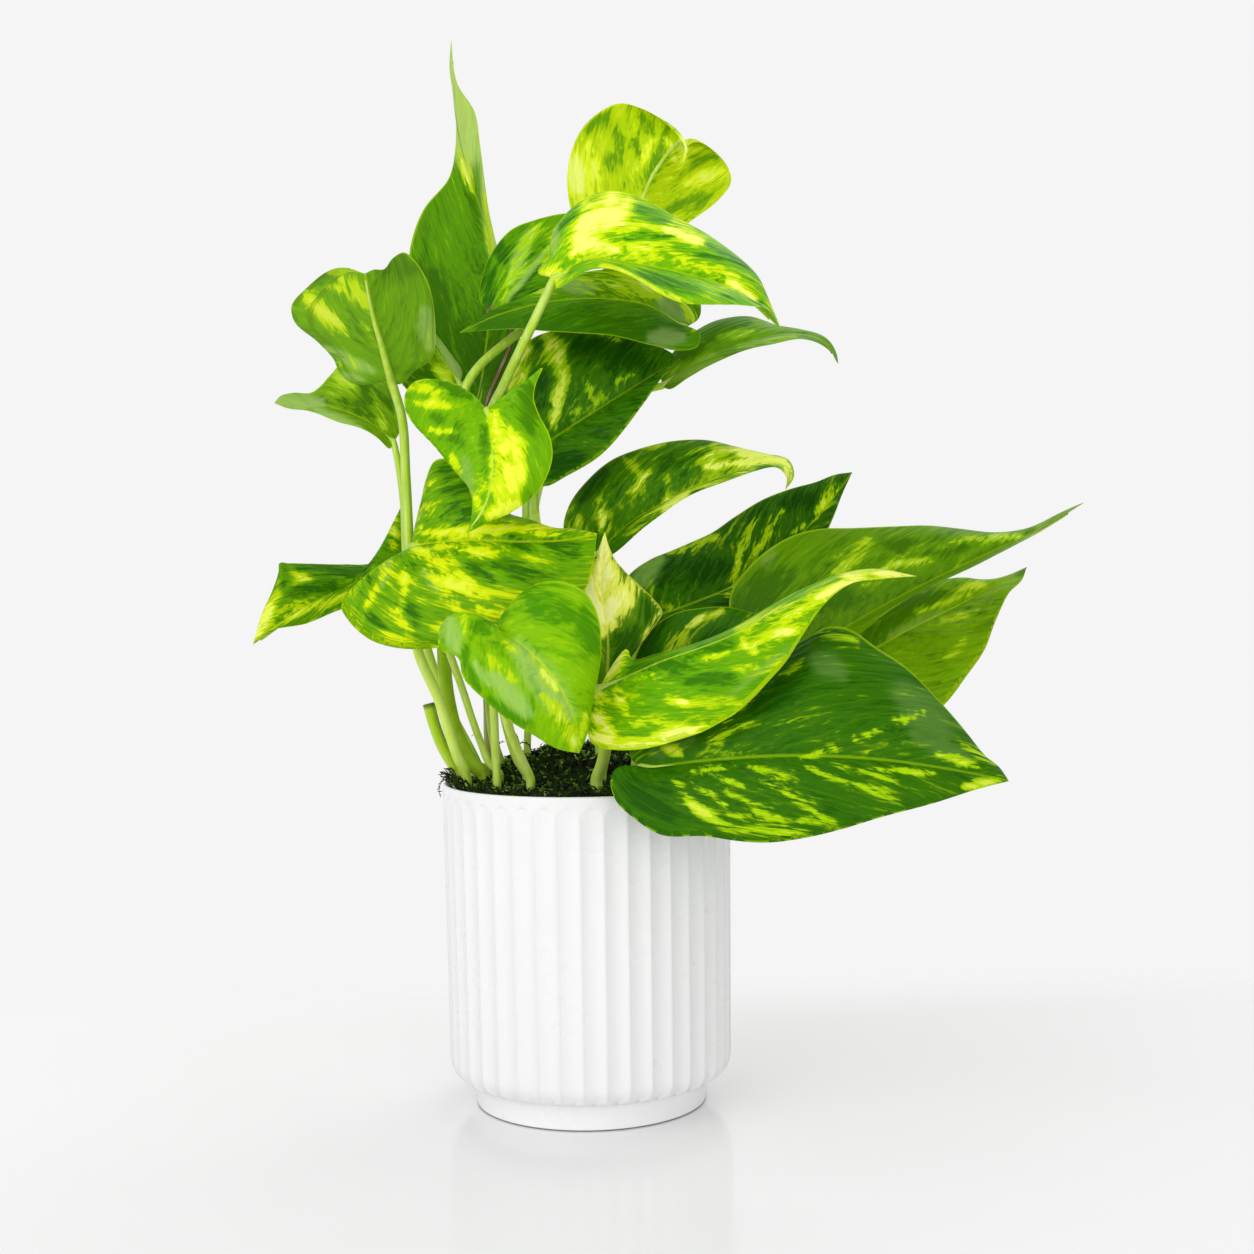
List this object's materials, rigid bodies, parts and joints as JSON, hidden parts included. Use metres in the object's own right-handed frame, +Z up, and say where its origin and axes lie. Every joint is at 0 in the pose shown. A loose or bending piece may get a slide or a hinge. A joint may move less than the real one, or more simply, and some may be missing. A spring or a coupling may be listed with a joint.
{
  "type": "potted pothos plant",
  "caption": "Bushy variegated vine with heart-shaped leaves on upright stalks, standing in a white vertically fluted ceramic pot on a narrow foot.",
  "frame": {"origin": "centre of the pot's flat underside, on the surface that it stands on", "axes": "+Z up along the pot's axis, the front that faces the viewer is towards -Y, +X to the viewer's right"},
  "size_m": [0.3469, 0.2035, 0.4509],
  "materials": {
    "leaf_01_tall_left": "satin",
    "leaf_02_left_heart": "satin",
    "leaf_03_left_low": "satin",
    "leaf_04_front_heart": "satin",
    "leaf_05_top_round": "satin",
    "leaf_06_top_bright": "satin",
    "leaf_07_top_behind": "satin",
    "leaf_08_under_bright": "satin",
    "leaf_09_dark_middle": "satin",
    "leaf_10_hooked": "satin",
    "leaf_11_right_arched": "satin",
    "leaf_12_right_upper": "satin",
    "leaf_13_right_long": "satin",
    "leaf_14_right_back": "satin",
    "leaf_15_right_curled": "satin",
    "leaf_16_right_big": "satin",
    "leaf_17_cream": "satin",
    "leaf_18_front_centre": "satin",
    "leaf_19_wide_left": "satin",
    "leaf_20_left_inner": "satin",
    "leaf_21_right_inner": "satin",
    "leaf_22_left_tip": "satin",
    "leaf_23_back_left": "satin",
    "leaf_24_back_right": "satin",
    "leaf_25_back_upper": "satin",
    "pot": "gloss",
    "soil": "matte",
    "stem_stub": "satin"
  },
  "bodies": {
    "root": {"leaf_01_tall_left": "leaf_01_tall_left", "leaf_02_left_heart": "leaf_02_left_heart", "leaf_03_left_low": "leaf_03_left_low", "leaf_04_front_heart": "leaf_04_front_heart", "leaf_05_top_round": "leaf_05_top_round", "leaf_06_top_bright": "leaf_06_top_bright", "leaf_07_top_behind": "leaf_07_top_behind", "leaf_08_under_bright": "leaf_08_under_bright", "leaf_09_dark_middle": "leaf_09_dark_middle", "leaf_10_hooked": "leaf_10_hooked", "leaf_11_right_arched": "leaf_11_right_arched", "leaf_12_right_upper": "leaf_12_right_upper", "leaf_13_right_long": "leaf_13_right_long", "leaf_14_right_back": "leaf_14_right_back", "leaf_15_right_curled": "leaf_15_right_curled", "leaf_16_right_big": "leaf_16_right_big", "leaf_17_cream": "leaf_17_cream", "leaf_18_front_centre": "leaf_18_front_centre", "leaf_19_wide_left": "leaf_19_wide_left", "leaf_20_left_inner": "leaf_20_left_inner", "leaf_21_right_inner": "leaf_21_right_inner", "leaf_22_left_tip": "leaf_22_left_tip", "leaf_23_back_left": "leaf_23_back_left", "leaf_24_back_right": "leaf_24_back_right", "leaf_25_back_upper": "leaf_25_back_upper", "pot": "pot", "soil": "soil", "stem_stub": "stem_stub"}
  },
  "joints": []
}
